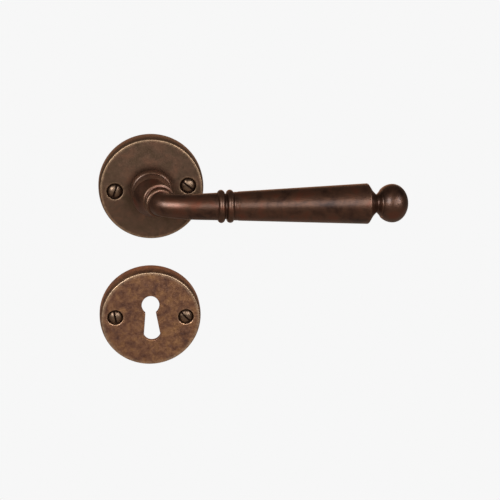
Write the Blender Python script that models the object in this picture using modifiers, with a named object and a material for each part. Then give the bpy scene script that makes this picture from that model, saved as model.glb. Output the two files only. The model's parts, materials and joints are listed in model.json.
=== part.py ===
"""Door lever handle on a round sprung rose, with its matching round keyhole cover.

Metres, +Z up. The origin is on the spindle's axis where it meets the door's face. The front of
the set looks along -Y, the lever reaches along +X, and the spindle runs along +Y into the door.
A depth is a distance in front of the door's face, so a point at depth d has Y = -d.
"""

import math

import bmesh
import bpy
import numpy as np
from mathutils import Matrix

MM = 0.001

# Clearances between pieces that touch or run in one another
GAP = 0.3 * MM
HEAD_CLEARANCE = 0.55 * MM

# The two round covers, which share one casting pattern
DISC_RADIUS = 26.0 * MM
DISC_THICKNESS = 9.3 * MM
DISC_TAPER = 1.0 * MM
DISC_EDGE_ROUND = 0.35 * MM
DISC_SIDE_WALL = 2.8 * MM
DISC_FRONT_WALL = 2.2 * MM
ROSE_TURN = math.radians(3.7)
ROSE_SCREW_LIFT = 0.5 * MM

# The slotted wood screws that hold the covers to the door
SCREW_INSET = 8.0 * MM
SCREW_HEAD_RADIUS = 3.4 * MM
SCREW_HEAD_HEIGHT = 1.9 * MM
SCREW_SHANK_RADIUS = 1.9 * MM
SCREW_LENGTH = 25.0 * MM
SCREW_SLOT_WIDTH = 0.9 * MM
SCREW_SLOT_DEPTH = 1.1 * MM
SCREW_RECESS_DEPTH = 1.6 * MM
SCREW_BOSS_WALL = 1.6 * MM
ROSE_SLOT_ANGLES = (math.radians(70), math.radians(-40))
KEYHOLE_SLOT_ANGLES = (math.radians(-79), math.radians(-47))

# The keyhole cover's place and its hole: a round top and a flared slot with a rounded foot
KEYHOLE_COVER_X = -1.25 * MM
KEYHOLE_COVER_Z = -68.4 * MM
KEYHOLE_COVER_TURN = math.radians(-1.0)
KEYHOLE_SCREW_LIFT = 0.95 * MM
KEYHOLE_ROUND_RADIUS = 4.55 * MM
KEYHOLE_ROUND_HEIGHT = 5.2 * MM
KEYHOLE_ROUND_LIFT = 7.2 * MM
KEYHOLE_WAIST_WIDTH = 5.4 * MM
KEYHOLE_FOOT_WIDTH = 8.5 * MM
KEYHOLE_FOOT_SHIFT = 0.6 * MM
KEYHOLE_FLARE_LENGTH = 16.1 * MM
KEYHOLE_FOOT_SAG = 3.1 * MM

# The spindle, the lever's spigot and what rides on it
SPINDLE_WIDTH = 8.0 * MM
SPINDLE_REACH_INTO_DOOR = 45.0 * MM
SPINDLE_DEPTH_IN_LEVER = 21.0 * MM
SPINDLE_CHAMFER = 0.4 * MM
SPIGOT_WALL = 1.0 * MM
SPIGOT_FLAT_CUT = 1.0 * MM
CLIP_GROOVE_CUT = 0.9 * MM
CLIP_THICKNESS = 0.8 * MM
CLIP_WIDTH = 2.4 * MM
CLIP_OPENING = math.radians(30)
BUSH_WALL = 1.3 * MM
BUSH_FLANGE_THICKNESS = 1.2 * MM
BUSH_FLANGE_WIDTH = 2.1 * MM
WASHER_THICKNESS = 0.4 * MM
WASHER_WIDTH = 2.3 * MM
DRIVER_THICKNESS = 1.0 * MM
DRIVER_TAB_OVERHANG = 1.0 * MM
DRIVER_TAB_HALF_WIDTH = 1.6 * MM
GRUB_RADIUS = 2.4 * MM
GRUB_DEPTH = 17.0 * MM
GRUB_SINK = 0.6 * MM
GRUB_SOCKET_RADIUS = 1.45 * MM
GRUB_SOCKET_DEPTH = 2.6 * MM

# The lever's travel, its stops and its spring
LEVER_TRAVEL = math.radians(45)
STOP_PIN_RADIUS = 1.5 * MM
STOP_RIVET_RADIUS = 1.0 * MM
SPRING_WIRE_RADIUS = 0.45 * MM
SPRING_PLAY = 0.75 * MM
SPRING_LEG_OVERHANG = 1.5 * MM
STOP_PLAY = 0.95 * MM

# The plate that closes the rose and its two small screws
PLATE_THICKNESS = 1.0 * MM
PLATE_SCREW_INSET = 4.0 * MM
PLATE_SCREW_RADIUS = 1.1 * MM
PLATE_SCREW_HEAD_RADIUS = 2.2 * MM
PLATE_SCREW_LENGTH = 5.0 * MM
PLATE_BOSS_RADIUS = 2.9 * MM

# The lever: a neck, a bend, a waisted tube, two beads, a tapered grip and a ball
# Along the bend, in mm and degrees: how far across, how far out, how far the section has turned
BEND = np.array(
    (
        (0.0, 24.6, 0.0),
        (2.9, 28.9, 13.0),
        (2.8, 31.2, 14.0),
        (2.75, 33.9, 16.0),
        (3.2, 35.6, 24.0),
        (4.5, 37.3, 44.0),
        (7.6, 38.9, 64.0),
        (12.0, 40.3, 77.0),
        (16.5, 41.2, 84.0),
        (20.5, 41.5, 90.0),
    )
) * (MM, MM, math.pi / 180)
BEND_STEP = 1.5 * MM
FOOT_COVER = 0.42 * MM
FOOT_LENGTH = 5.0 * MM
NECK_STEP = 0.7 * MM
NECK_GROOVE_STEP = 1.1 * MM
SHOULDER_RADIUS = 7.7 * MM
SHOULDER_DROP = 1.4 * MM
BEND_BEAD_RADIUS = 6.95 * MM
BEND_BEAD_HALF_WIDTH = 0.95 * MM
TUBE_THIN_RADIUS = 5.45 * MM
TUBE_THICK_RADIUS = 6.5 * MM
ARM_BEAD_RADIUS = 7.8 * MM
ARM_GROOVE_RADIUS = 5.95 * MM
TUBE_REACH = 31.1 * MM
ARM_BEAD_SPACING = 4.2 * MM
ARM_BEAD_HALF_WIDTH = (1.75 * MM, 1.7 * MM)
GRIP_START_RADIUS = 6.8 * MM
GRIP_END_RADIUS = 9.68 * MM
GRIP_FILLET_LENGTH = 2.6 * MM
GRIP_LENGTH = 63.1 * MM
BALL_CONE_LENGTH = 4.4 * MM
BALL_NECK_RADIUS = 4.6 * MM
BALL_RADIUS = 9.2 * MM
BALL_NEAR_SIDE = 7.7 * MM
BALL_FAR_SIDE = 7.45 * MM

# Fineness of the round pieces
TURNED_STEPS = 48
SMALL_STEPS = 24
LEVER_SIDES = 28

# Places that follow from the sizes above
DISC_BACK = 0.0
DISC_FRONT = DISC_THICKNESS
CAVITY_RADIUS = DISC_RADIUS - DISC_SIDE_WALL
CAVITY_TOP = DISC_THICKNESS - DISC_FRONT_WALL
PLATE_BACK = GAP
PLATE_FRONT = PLATE_BACK + PLATE_THICKNESS
FLANGE_BACK = CAVITY_TOP - GAP - BUSH_FLANGE_THICKNESS
WASHER_FRONT = FLANGE_BACK - GAP
WASHER_BACK = WASHER_FRONT - WASHER_THICKNESS
DRIVER_FRONT = WASHER_BACK - GAP
DRIVER_BACK = DRIVER_FRONT - DRIVER_THICKNESS
CLIP_FRONT = DRIVER_BACK - GAP
CLIP_BACK = CLIP_FRONT - CLIP_THICKNESS
CLIP_GROOVE_BACK = CLIP_BACK - GAP
SPIGOT_END = PLATE_FRONT + GAP
SOCKET_HALF = SPINDLE_WIDTH / 2 + GAP
SOCKET_CORNER = SOCKET_HALF * math.sqrt(2)
CLIP_GROOVE_RADIUS = SOCKET_CORNER + SPIGOT_WALL
SPIGOT_RADIUS = CLIP_GROOVE_RADIUS + CLIP_GROOVE_CUT
SPIGOT_FLAT = SPIGOT_RADIUS - SPIGOT_FLAT_CUT
BUSH_BORE = SPIGOT_RADIUS + GAP
BUSH_RADIUS = BUSH_BORE + BUSH_WALL
FLANGE_RADIUS = BUSH_BORE + BUSH_FLANGE_WIDTH
ROSE_BORE = BUSH_RADIUS + GAP
SPRING_COIL_RADIUS = FLANGE_RADIUS + SPRING_PLAY + SPRING_WIRE_RADIUS
STOP_CIRCLE_RADIUS = SPRING_COIL_RADIUS + SPRING_WIRE_RADIUS + STOP_PLAY + STOP_PIN_RADIUS
SPRING_LEG_RADIUS = STOP_CIRCLE_RADIUS + SPRING_LEG_OVERHANG
DRIVER_TAB_RADIUS = STOP_CIRCLE_RADIUS + DRIVER_TAB_OVERHANG
PLATE_SCREW_CIRCLE = CAVITY_RADIUS - PLATE_SCREW_INSET
LEVER_START = DISC_FRONT + GAP
BEND_STATIONS = np.append(0.0, np.cumsum(np.hypot(*np.diff(BEND[:, :2], axis=0).T))) + BEND[0, 1]
ARM_STATION = BEND_STATIONS[-1] - BEND[-1, 0]
FOOT_RADIUS = ROSE_BORE + FOOT_COVER
NECK_RADIUS = FOOT_RADIUS - NECK_STEP
NECK_GROOVE_RADIUS = FOOT_RADIUS - NECK_GROOVE_STEP
SCREW_CIRCLE = DISC_RADIUS - SCREW_INSET
SCREW_RECESS_RADIUS = SCREW_HEAD_RADIUS + HEAD_CLEARANCE
SCREW_HOLE_RADIUS = SCREW_SHANK_RADIUS + GAP
SCREW_SEAT = DISC_FRONT - SCREW_RECESS_DEPTH + GAP
SCREW_BOSS_RADIUS = SCREW_HOLE_RADIUS + SCREW_BOSS_WALL
TAB_REST_ANGLE = math.pi / 2 + LEVER_TRAVEL / 2
STOP_TO_TAB = DRIVER_TAB_HALF_WIDTH + GAP + STOP_PIN_RADIUS
STOP_CLEARANCE_ANGLE = math.asin(STOP_TO_TAB / STOP_CIRCLE_RADIUS)
STOP_ANGLES = (
    TAB_REST_ANGLE + STOP_CLEARANCE_ANGLE,
    TAB_REST_ANGLE - LEVER_TRAVEL - STOP_CLEARANCE_ANGLE,
)

TOWARDS_FRONT = Matrix.Rotation(math.radians(90), 4, "X")


# ---- Setting up the file ----


def clear_scene():
    """Remove every object that the file opened with."""
    for old in list(bpy.data.objects):
        bpy.data.objects.remove(old, do_unlink=True)


def collection(name):
    """A new collection in the scene."""
    made = bpy.data.collections.new(name)
    bpy.context.scene.collection.children.link(made)
    return made


def metal(name, colour, roughness, metallic=1.0):
    """A Principled material with the given look."""
    made = bpy.data.materials.new(name)
    made.use_nodes = True
    shader = made.node_tree.nodes["Principled BSDF"]
    shader.inputs["Base Color"].default_value = (*colour, 1.0)
    shader.inputs["Roughness"].default_value = roughness
    shader.inputs["Metallic"].default_value = metallic
    made.diffuse_color = (*colour, 1.0)
    return made


clear_scene()
PARTS = collection("door_lever_handle")
CUTTERS = collection("cutters")


# ---- Shapes ----


def place(obj, where, look=None):
    """Put an object in the parts collection, or among the cutters when it has no look."""
    for home in list(obj.users_collection):
        home.objects.unlink(obj)
    if look is None:
        CUTTERS.objects.link(obj)
        obj.hide_render = True
        obj.display_type = "WIRE"
    else:
        PARTS.objects.link(obj)
        obj.data.materials.clear()
        obj.data.materials.append(look)
        if obj.type == "MESH":
            obj.data.shade_smooth()
            obj.data.set_sharp_from_angle(angle=math.radians(35))
    obj.matrix_world = where
    return obj


def facing_front(x=0.0, depth=0.0, z=0.0, turn=0.0):
    """Local X and Y become X and Z, local Z points out of the door, turned about that line."""
    return Matrix.Translation((x, -depth, z)) @ TOWARDS_FRONT @ Matrix.Rotation(turn, 4, "Z")


def turned(name, profile, where, look=None, closed=False, steps=TURNED_STEPS):
    """Turn a profile of (radius, height) points, listed down its outer side, about local Z."""
    mesh = bpy.data.meshes.new(name)
    points = [(radius, 0.0, height) for radius, height in profile]
    edges = [(i, i + 1) for i in range(len(points) - 1)]
    if closed:
        edges.append((len(points) - 1, 0))
    mesh.from_pydata(points, edges, [])
    obj = bpy.data.objects.new(name, mesh)
    place(obj, where, look)
    screw = obj.modifiers.new("turn", "SCREW")
    screw.axis = "Z"
    screw.angle = 2 * math.pi
    screw.steps = steps
    screw.render_steps = steps
    screw.use_merge_vertices = True
    screw.merge_threshold = 0.00001
    screw.use_smooth_shade = True
    return obj


def outline(name, loops, thickness, where, look=None):
    """A flat plate from closed loops of (x, y) points, its back face at local Z = 0."""
    curve = bpy.data.curves.new(name, "CURVE")
    curve.dimensions = "2D"
    curve.fill_mode = "BOTH"
    curve.extrude = thickness / 2
    for loop in loops:
        spline = curve.splines.new("POLY")
        spline.points.add(len(loop) - 1)
        for point, (x, y) in zip(spline.points, loop):
            point.co = (x, y, 0.0, 1.0)
        spline.use_cyclic_u = True
    obj = bpy.data.objects.new(name, curve)
    place(obj, where @ Matrix.Translation((0.0, 0.0, thickness / 2)), look)
    return obj


def rod(name, points, radii, resolution, look=None):
    """A round bar through world points, with a radius for each point and closed ends."""
    curve = bpy.data.curves.new(name, "CURVE")
    curve.dimensions = "3D"
    curve.bevel_depth = MM
    curve.bevel_resolution = resolution
    curve.use_fill_caps = True
    curve.twist_mode = "Z_UP"
    spline = curve.splines.new("POLY")
    spline.points.add(len(points) - 1)
    for point, place_xyz, radius in zip(spline.points, points, radii):
        point.co = (*place_xyz, 1.0)
        point.radius = radius / MM
    obj = bpy.data.objects.new(name, curve)
    place(obj, Matrix.Identity(4), look)
    return obj


def as_mesh(obj, look=None):
    """Replace a curve object by its mesh, with the loose caps welded on."""
    bpy.context.view_layer.update()
    solid = bpy.data.meshes.new_from_object(obj.evaluated_get(bpy.context.evaluated_depsgraph_get()))
    work = bmesh.new()
    work.from_mesh(solid)
    bmesh.ops.remove_doubles(work, verts=work.verts, dist=0.000001)
    work.to_mesh(solid)
    work.free()
    name, where = obj.name, obj.matrix_world.copy()
    bpy.data.objects.remove(obj, do_unlink=True)
    made = bpy.data.objects.new(name, solid)
    return place(made, where, look)


def block(name, size, where, look=None):
    """A box of the given size about its own centre."""
    bpy.ops.mesh.primitive_cube_add(size=1.0)
    obj = bpy.context.object
    obj.name = name
    for corner in obj.data.vertices:
        corner.co = [c * s for c, s in zip(corner.co, size)]
    return place(obj, where, look)


def join_or_cut(target, others, operation):
    """Add one Boolean to the target, with a list of other objects as its operands."""
    group = bpy.data.collections.new(f"{target.name}_{operation.lower()}")
    CUTTERS.children.link(group)
    for other in others:
        CUTTERS.objects.unlink(other)
        group.objects.link(other)
    boolean = target.modifiers.new(operation.lower(), "BOOLEAN")
    boolean.operation = operation
    boolean.operand_type = "COLLECTION"
    boolean.collection = group
    boolean.solver = "EXACT"


def drum(name, radius, back, front, x=0.0, z=0.0, steps=SMALL_STEPS):
    """A plain cylinder between two depths, kept among the cutters."""
    profile = [(0.0, front), (radius, front), (radius, back), (0.0, back)]
    return turned(name, profile, facing_front(x=x, z=z), steps=steps)


def arc(centre, radius, start, end, count):
    """Points (x, y) along an arc about a centre, both ends included."""
    angles = [start + (end - start) * i / (count - 1) for i in range(count)]
    return [(centre[0] + radius * math.cos(a), centre[1] + radius * math.sin(a)) for a in angles]


def spot(radius, angle):
    """The (x, z) of a point on a circle about the spindle's axis, from +X towards +Z."""
    return radius * math.cos(angle), radius * math.sin(angle)


# ---- Materials ----

BROWNED_BRONZE = (0.10, 0.065, 0.045)
STEEL = (0.42, 0.42, 0.43)


# ---- Wood screws and the covers that they hold ----


def disc_outside():
    """The covers' outer side: a small round, then a lean by the fourth power of the depth."""
    front_radius = DISC_RADIUS - DISC_TAPER
    centre = (front_radius - DISC_EDGE_ROUND, DISC_FRONT - DISC_EDGE_ROUND)
    edge = arc(centre, DISC_EDGE_ROUND, math.pi / 2, math.pi / 9, 3)
    side = [(DISC_RADIUS - DISC_TAPER * t**4, DISC_FRONT * t) for t in (0.9, 0.8, 0.65, 0.45)]
    return edge + side + [(DISC_RADIUS, DISC_BACK)]


def screw_cutter(name, x, z):
    """The recess for a screw's head and the hole for its shank."""
    profile = [
        (0.0, DISC_FRONT + MM),
        (SCREW_RECESS_RADIUS, DISC_FRONT + MM),
        (SCREW_RECESS_RADIUS, DISC_FRONT - SCREW_RECESS_DEPTH),
        (SCREW_HOLE_RADIUS, DISC_FRONT - SCREW_RECESS_DEPTH),
        (SCREW_HOLE_RADIUS, -MM),
        (0.0, -MM),
    ]
    return turned(name, profile, facing_front(x=x, z=z), steps=SMALL_STEPS)


def screw_places(x, z, turn):
    """The two screws' (x, z) either side of a cover's centre, left one first."""
    dx, dz = spot(SCREW_CIRCLE, turn)
    return (x - dx, z - dz), (x + dx, z + dz)


def rose_screw_places():
    """The rose's two screws, which sit a little above its centre and turned with the rose."""
    return screw_places(0.0, ROSE_SCREW_LIFT, ROSE_TURN)


def keyhole_screw_places():
    """The keyhole cover's two screws, which sit a little above its centre."""
    return screw_places(KEYHOLE_COVER_X, KEYHOLE_COVER_Z + KEYHOLE_SCREW_LIFT, KEYHOLE_COVER_TURN)


def screw_bosses(name, places, back):
    """The solid posts inside a cover that its two wood screws pass through."""
    return [
        drum(f"{name}_boss_{index}", SCREW_BOSS_RADIUS, back, CAVITY_TOP + MM, x, z)
        for index, (x, z) in enumerate(places)
    ]


def wood_screw(name, x, z, slot_angle, look):
    """A slotted round-head wood screw seated in a cover's recess."""
    head = [(0.0, SCREW_SEAT + SCREW_HEAD_HEIGHT)]
    for i in range(1, 6):
        a = math.pi / 2 * (1 - i / 5)
        head.append((SCREW_HEAD_RADIUS * math.cos(a), SCREW_SEAT + SCREW_HEAD_HEIGHT * math.sin(a)))
    shank = [
        (SCREW_SHANK_RADIUS, SCREW_SEAT),
        (SCREW_SHANK_RADIUS, SCREW_SEAT - SCREW_LENGTH * 0.75),
        (0.0, SCREW_SEAT - SCREW_LENGTH),
    ]
    screw = turned(name, head + shank, facing_front(x=x, z=z), look, steps=SMALL_STEPS)
    slot_top = SCREW_SEAT + SCREW_HEAD_HEIGHT + MM
    slot_height = SCREW_SLOT_DEPTH + MM
    where = facing_front(x=x, depth=slot_top - slot_height / 2, z=z, turn=slot_angle)
    slot = block(f"{name}_slot", (4 * SCREW_HEAD_RADIUS, SCREW_SLOT_WIDTH, slot_height), where)
    join_or_cut(screw, [slot], "DIFFERENCE")


def rose_cover(look):
    """The round cast cover: a hollow disc bored for the lever's bush."""
    profile = (
        [(ROSE_BORE, DISC_FRONT)]
        + disc_outside()
        + [(CAVITY_RADIUS, DISC_BACK), (CAVITY_RADIUS, CAVITY_TOP), (ROSE_BORE, CAVITY_TOP)]
    )
    cover = turned("rose_cover", profile, facing_front(), look, closed=True)
    screws = rose_screw_places()
    plate_screws_at = [spot(PLATE_SCREW_CIRCLE, angle) for angle in plate_screw_angles()]
    posts_back = PLATE_FRONT + GAP
    bosses = screw_bosses("rose", screws, posts_back)
    holes = [screw_cutter(f"rose_hole_{index}", x, z) for index, (x, z) in enumerate(screws)]
    for index, (x, z) in enumerate(plate_screws_at):
        bosses.append(drum(f"plate_boss_{index}", PLATE_BOSS_RADIUS, posts_back, CAVITY_TOP + MM, x, z))
        end = PLATE_BACK + PLATE_SCREW_LENGTH + GAP
        holes.append(drum(f"plate_tapping_{index}", PLATE_SCREW_RADIUS + GAP, -MM, end, x, z, steps=16))
    join_or_cut(cover, bosses, "UNION")
    join_or_cut(cover, holes, "DIFFERENCE")


def keyhole_outline():
    """The keyhole about the cover's centre: an oval that opens into a flared, rounded slot."""
    half_waist = KEYHOLE_WAIST_WIDTH / 2
    half_foot = KEYHOLE_FOOT_WIDTH / 2
    open_angle = math.asin(half_waist / KEYHOLE_ROUND_RADIUS)
    stretch = KEYHOLE_ROUND_HEIGHT / KEYHOLE_ROUND_RADIUS
    circle = arc((0.0, 0.0), KEYHOLE_ROUND_RADIUS, open_angle - math.pi / 2, math.pi * 1.5 - open_angle, 21)
    top = [(x, KEYHOLE_ROUND_LIFT + stretch * z) for x, z in circle]
    foot_radius = (half_foot**2 + KEYHOLE_FOOT_SAG**2) / (2 * KEYHOLE_FOOT_SAG)
    foot_top = KEYHOLE_ROUND_LIFT - KEYHOLE_FLARE_LENGTH
    centre = (KEYHOLE_FOOT_SHIFT, foot_top - KEYHOLE_FOOT_SAG + foot_radius)
    half_angle = math.atan2(half_foot, centre[1] - foot_top)
    foot = arc(centre, foot_radius, -math.pi / 2 - half_angle, -math.pi / 2 + half_angle, 13)
    return top + foot


def keyhole_cover(look):
    """The round cast keyhole cover: a hollow disc with a keyhole through its front wall."""
    profile = (
        [(0.0, DISC_FRONT)]
        + disc_outside()
        + [(CAVITY_RADIUS, DISC_BACK), (CAVITY_RADIUS, CAVITY_TOP), (0.0, CAVITY_TOP)]
    )
    where = facing_front(x=KEYHOLE_COVER_X, z=KEYHOLE_COVER_Z)
    cover = turned("keyhole_cover", profile, where, look)
    screws = keyhole_screw_places()
    join_or_cut(cover, screw_bosses("keyhole_cover", screws, GAP), "UNION")
    raised = where @ Matrix.Translation((0.0, 0.0, MM))
    through = outline("keyhole", [keyhole_outline()], DISC_THICKNESS, raised)
    holes = [screw_cutter(f"keyhole_cover_hole_{index}", x, z) for index, (x, z) in enumerate(screws)]
    join_or_cut(cover, holes + [as_mesh(through)], "DIFFERENCE")


# ---- Inside the rose ----


def plate_screw_angles():
    """The small screws sit above and below the spindle, turned with the rose."""
    return math.pi / 2 + ROSE_TURN, -math.pi / 2 + ROSE_TURN


def rose_back_plate(look):
    """The steel plate that closes the rose, with holes for everything that passes it."""
    profile = [
        (SOCKET_CORNER + GAP, PLATE_FRONT),
        (CAVITY_RADIUS - GAP, PLATE_FRONT),
        (CAVITY_RADIUS - GAP, PLATE_BACK),
        (SOCKET_CORNER + GAP, PLATE_BACK),
    ]
    plate = turned("rose_back_plate", profile, facing_front(), look, closed=True)
    holes = [(x, z, SCREW_HOLE_RADIUS) for x, z in rose_screw_places()]
    holes += [(*spot(STOP_CIRCLE_RADIUS, a), STOP_RIVET_RADIUS + GAP) for a in STOP_ANGLES]
    cutters = [
        drum(f"plate_hole_{index}", radius, -MM, PLATE_FRONT + MM, x, z, steps=16)
        for index, (x, z, radius) in enumerate(holes)
    ]
    for index, angle in enumerate(plate_screw_angles()):
        x, z = spot(PLATE_SCREW_CIRCLE, angle)
        slope = PLATE_SCREW_HEAD_RADIUS - PLATE_SCREW_RADIUS
        sink = [
            (0.0, PLATE_FRONT + MM),
            (PLATE_SCREW_RADIUS + GAP, PLATE_FRONT + MM),
            (PLATE_SCREW_RADIUS + GAP, PLATE_BACK + slope),
            (PLATE_SCREW_HEAD_RADIUS + GAP, PLATE_BACK),
            (PLATE_SCREW_HEAD_RADIUS + GAP, -MM),
            (0.0, -MM),
        ]
        cutters.append(turned(f"plate_sink_{index}", sink, facing_front(x=x, z=z), steps=16))
    join_or_cut(plate, cutters, "DIFFERENCE")


def plate_screws(look):
    """Two countersunk screws that hold the back plate to the rose."""
    for side, angle in zip(("top", "bottom"), plate_screw_angles()):
        x, z = spot(PLATE_SCREW_CIRCLE, angle)
        slope = PLATE_SCREW_HEAD_RADIUS - PLATE_SCREW_RADIUS
        profile = [
            (0.0, PLATE_BACK + PLATE_SCREW_LENGTH),
            (PLATE_SCREW_RADIUS, PLATE_BACK + PLATE_SCREW_LENGTH),
            (PLATE_SCREW_RADIUS, PLATE_BACK + slope),
            (PLATE_SCREW_HEAD_RADIUS, PLATE_BACK),
            (0.0, PLATE_BACK),
        ]
        turned(f"plate_screw_{side}", profile, facing_front(x=x, z=z), look, steps=16)


def stop_pins(look):
    """Two pins riveted to the back plate that end the lever's travel."""
    for side, angle in zip(("rest", "end"), STOP_ANGLES):
        x, z = spot(STOP_CIRCLE_RADIUS, angle)
        profile = [
            (0.0, CAVITY_TOP - GAP),
            (STOP_PIN_RADIUS, CAVITY_TOP - GAP),
            (STOP_PIN_RADIUS, PLATE_FRONT + GAP),
            (STOP_RIVET_RADIUS, PLATE_FRONT + GAP),
            (STOP_RIVET_RADIUS, PLATE_BACK),
            (0.0, PLATE_BACK),
        ]
        turned(f"stop_pin_{side}", profile, facing_front(x=x, z=z), look, steps=16)


def neck_bush(look):
    """The flanged bush in the rose's bore, in which the lever's spigot turns."""
    profile = [
        (BUSH_BORE, DISC_FRONT),
        (BUSH_RADIUS, DISC_FRONT),
        (BUSH_RADIUS, CAVITY_TOP - GAP),
        (FLANGE_RADIUS, CAVITY_TOP - GAP),
        (FLANGE_RADIUS, FLANGE_BACK),
        (BUSH_BORE, FLANGE_BACK),
    ]
    turned("neck_bush", profile, facing_front(), look, closed=True)


def thrust_washer(look):
    """The washer between the bush's flange and the spring driver."""
    profile = [
        (BUSH_BORE, WASHER_FRONT),
        (BUSH_BORE + WASHER_WIDTH, WASHER_FRONT),
        (BUSH_BORE + WASHER_WIDTH, WASHER_BACK),
        (BUSH_BORE, WASHER_BACK),
    ]
    turned("thrust_washer", profile, facing_front(), look, closed=True, steps=36)


def spring_driver(look):
    """The stamped ring keyed on the spigot's flats, whose tab meets the stops and the spring."""
    tab_root = math.asin(DRIVER_TAB_HALF_WIDTH / FLANGE_RADIUS)
    rim_end = TAB_REST_ANGLE - tab_root + 2 * math.pi
    rim = arc((0, 0), FLANGE_RADIUS, TAB_REST_ANGLE + tab_root, rim_end, 40)
    tab_tip = math.asin(DRIVER_TAB_HALF_WIDTH / DRIVER_TAB_RADIUS)
    tip = arc((0, 0), DRIVER_TAB_RADIUS, TAB_REST_ANGLE - tab_tip, TAB_REST_ANGLE + tab_tip, 3)
    flat = SPIGOT_FLAT + GAP
    half_round = math.asin(flat / BUSH_BORE)
    bore = arc((0, 0), BUSH_BORE, -half_round, half_round, 14)
    bore += arc((0, 0), BUSH_BORE, math.pi - half_round, math.pi + half_round, 14)
    outline("spring_driver", [rim + tip, bore], DRIVER_THICKNESS, facing_front(depth=DRIVER_BACK), look)


def retaining_clip(look):
    """The open snap ring in the spigot's groove, which keeps the lever in the rose."""
    inner = CLIP_GROOVE_RADIUS + GAP
    half = CLIP_OPENING / 2
    start, end = -math.pi / 2 + half, math.pi * 1.5 - half
    loop = arc((0, 0), inner + CLIP_WIDTH, start, end, 36)
    loop += arc((0, 0), inner, end, start, 30)
    outline("retaining_clip", [loop], CLIP_THICKNESS, facing_front(depth=CLIP_BACK), look)


def return_spring(look):
    """A torsion spring: one leg behind the end stop, the other turned back beside the tab."""
    pin_reach = STOP_PIN_RADIUS + GAP + SPRING_WIRE_RADIUS
    fixed_angle = STOP_ANGLES[1] + math.asin(pin_reach / STOP_CIRCLE_RADIUS)
    tab_reach = DRIVER_TAB_HALF_WIDTH + GAP + SPRING_WIRE_RADIUS
    moving_angle = TAB_REST_ANGLE - math.asin(tab_reach / SPRING_COIL_RADIUS)
    front = CAVITY_TOP - GAP - SPRING_WIRE_RADIUS
    back = DRIVER_FRONT + GAP + SPRING_WIRE_RADIUS
    sweep = 2 * math.pi - (moving_angle - fixed_angle)
    points = [(*spot(SPRING_LEG_RADIUS, fixed_angle), front)]
    turns = 40
    for i in range(turns + 1):
        share = i / turns
        x, z = spot(SPRING_COIL_RADIUS, fixed_angle - sweep * share)
        points.append((x, z, front + (back - front) * share))
    x, z = spot(SPRING_COIL_RADIUS, moving_angle)
    points.append((x, z, DRIVER_BACK + GAP))
    world = [(px, -depth, pz) for px, pz, depth in points]
    rod("return_spring", world, [SPRING_WIRE_RADIUS] * len(world), 2, look)


def spindle(look):
    """The square bar that turns the lock's follower."""
    length = SPINDLE_DEPTH_IN_LEVER + SPINDLE_REACH_INTO_DOOR
    middle = (SPINDLE_DEPTH_IN_LEVER - SPINDLE_REACH_INTO_DOOR) / 2
    where = Matrix.Translation((0.0, -middle, 0.0))
    bar = block("spindle", (SPINDLE_WIDTH, length, SPINDLE_WIDTH), where, look)
    bevel = bar.modifiers.new("chamfer", "BEVEL")
    bevel.width = SPINDLE_CHAMFER
    bevel.segments = 1


def grub_screw(look):
    """The socket set screw that pins the spindle in the lever's neck, from below."""
    top = -SOCKET_HALF
    bottom = -(NECK_RADIUS - GRUB_SINK)
    upright = Matrix.Translation((0.0, -GRUB_DEPTH, 0.0))
    profile = [(0.0, top), (GRUB_RADIUS, top), (GRUB_RADIUS, bottom), (0.0, bottom)]
    screw = turned("grub_screw", profile, upright, look, steps=SMALL_STEPS)
    pit = [
        (0.0, bottom + GRUB_SOCKET_DEPTH),
        (GRUB_SOCKET_RADIUS, bottom + GRUB_SOCKET_DEPTH),
        (GRUB_SOCKET_RADIUS, bottom - MM),
        (0.0, bottom - MM),
    ]
    join_or_cut(screw, [turned("grub_socket", pit, upright, steps=6)], "DIFFERENCE")


# ---- The lever ----


def half_wave(centre, half_width, crest, root, count):
    """A bead's (station, radius) points: half an ellipse that stands on the root radius."""
    angles = [math.pi * i / (count - 1) for i in range(count)]
    return [(centre - half_width * math.cos(a), root + (crest - root) * math.sin(a)) for a in angles]


def ball_profile(neck_station):
    """The ball's (station, radius) points, flatter at its far side than at its neck."""
    start = math.asin(BALL_NECK_RADIUS / BALL_RADIUS)
    near_side = BALL_NEAR_SIDE / math.cos(start)
    centre = neck_station + BALL_NEAR_SIDE
    ball = []
    for i in range(1, 15):
        a = start + (math.pi - start) * i / 14
        side = near_side if a < math.pi / 2 else BALL_FAR_SIDE
        ball.append((centre - side * math.cos(a), max(BALL_RADIUS * math.sin(a), 0.4 * MM)))
    return ball


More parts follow.
